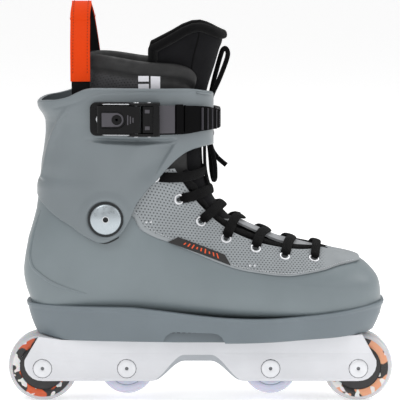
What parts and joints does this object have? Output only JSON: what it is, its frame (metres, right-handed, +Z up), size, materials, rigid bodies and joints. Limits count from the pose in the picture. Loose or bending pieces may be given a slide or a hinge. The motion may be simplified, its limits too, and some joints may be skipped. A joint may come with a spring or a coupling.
{
  "type": "inline skate",
  "caption": "Grey and black in-line skate for the right foot, with a hinged cuff, ratchet buckle, laced boot and white frame.",
  "frame": {"origin": "on the ground, under the middle of the skate: midway between the first and last axle, in the plane of the wheels", "axes": "+X to the toe, +Y to the inner side of the right foot (the buckle side is -Y), +Z up"},
  "size_m": [0.3192, 0.115, 0.331],
  "materials": {
    "frame_plastic": "satin white",
    "large_wheel_urethane": "translucent grey-white",
    "small_wheel_urethane": "milky",
    "large_wheel_hub": "black with orange and white patches",
    "small_wheel_hub": "milky",
    "steel": "brushed",
    "axle_hardware": "satin",
    "pivot_cap": "turned",
    "sole_plastic": "satin grey",
    "shell_plastic": "satin grey",
    "cuff_plastic": "satin grey",
    "skin_leather": "perforated",
    "liner_fabric": "padded",
    "tongue_fabric": "padded",
    "foam": "matte",
    "lace": "woven",
    "buckle_plastic": "satin black",
    "strap_plastic": "satin black",
    "pull_webbing": "orange webbing",
    "badge_rubber": "matte with orange marks"
  },
  "bodies": {
    "root": {"sole_plate": "sole_plastic", "boot_shell": "shell_plastic", "skin": "skin_leather", "liner_lower": "liner_fabric", "footbed": "foam", "heel_pad": "foam", "tongue": "tongue_fabric", "pivot_screw_outer": "pivot_cap", "pivot_nut_outer": "steel", "pivot_screw_inner": "pivot_cap", "pivot_nut_inner": "steel", "laces": "lace", "lace_loop_upper": "lace", "lace_loop_lower": "lace", "lace_end": "lace", "badge": "badge_rubber", "rear_mount_bolt": "steel", "rear_mount_nut": "steel", "front_mount_bolt": "steel", "front_mount_nut": "steel", "frame": "frame_plastic", "rear_bearing_spacer": "steel", "rear_axle_screw": "axle_hardware", "rear_axle_nut": "axle_hardware", "rear_inner_bearing_spacer": "steel", "rear_inner_axle_screw": "axle_hardware", "rear_inner_axle_nut": "axle_hardware", "front_inner_bearing_spacer": "steel", "front_inner_axle_screw": "axle_hardware", "front_inner_axle_nut": "axle_hardware", "front_bearing_spacer": "steel", "front_axle_screw": "axle_hardware", "front_axle_nut": "axle_hardware"},
    "cuff": {"cuff": "cuff_plastic", "liner_upper": "liner_fabric", "buckle_base": "buckle_plastic", "lever_pin": "steel", "buckle_screw": "steel", "pull_loop": "pull_webbing"},
    "lever": {"buckle_lever": "buckle_plastic"},
    "pawl": {"pawl": "buckle_plastic"},
    "strap": {"strap": "strap_plastic", "strap_sleeve": "strap_plastic"},
    "rear_wheel": {"rear_tyre": "large_wheel_urethane", "rear_hub": "large_wheel_hub", "rear_bearing_outer": "steel", "rear_bearing_inner": "steel"},
    "rear_inner_wheel": {"rear_inner_tyre": "small_wheel_urethane", "rear_inner_hub": "small_wheel_hub", "rear_inner_bearing_outer": "steel", "rear_inner_bearing_inner": "steel"},
    "front_inner_wheel": {"front_inner_tyre": "small_wheel_urethane", "front_inner_hub": "small_wheel_hub", "front_inner_bearing_outer": "steel", "front_inner_bearing_inner": "steel"},
    "front_wheel": {"front_tyre": "large_wheel_urethane", "front_hub": "large_wheel_hub", "front_bearing_outer": "steel", "front_bearing_inner": "steel"}
  },
  "joints": [
    {"name": "cuff_lean", "type": "hinge", "parent": "root", "child": "cuff", "pos_m": [-0.0764, 0, 0.158], "axis": [0, 1, 0], "range_deg": [0, 10], "stiffness_Nm_per_rad": 4},
    {"name": "lever_open", "type": "hinge", "parent": "cuff", "child": "lever", "pos_m": [-0.0514, -0.0553, 0.2395], "axis": [0, 0, 1], "range_deg": [0, 100]},
    {"name": "pawl_release", "type": "hinge", "parent": "cuff", "child": "pawl", "pos_m": [-0.041, -0.0558, 0.2395], "axis": [0, 0, 1], "range_deg": [0, 12], "stiffness_Nm_per_rad": 0.05},
    {"name": "strap_slide", "type": "slide", "parent": "cuff", "child": "strap", "axis": [1, 0, 0], "range_m": [0, 0.006]},
    {"name": "rear_spin", "type": "hinge", "parent": "root", "child": "rear_wheel", "pos_m": [-0.1306, 0, 0.029], "axis": [0, 1, 0], "continuous": true},
    {"name": "rear_inner_spin", "type": "hinge", "parent": "root", "child": "rear_inner_wheel", "pos_m": [-0.0609, 0, 0.029], "axis": [0, 1, 0], "continuous": true},
    {"name": "front_inner_spin", "type": "hinge", "parent": "root", "child": "front_inner_wheel", "pos_m": [0.058, 0, 0.029], "axis": [0, 1, 0], "continuous": true},
    {"name": "front_spin", "type": "hinge", "parent": "root", "child": "front_wheel", "pos_m": [0.1306, 0, 0.029], "axis": [0, 1, 0], "continuous": true}
  ]
}
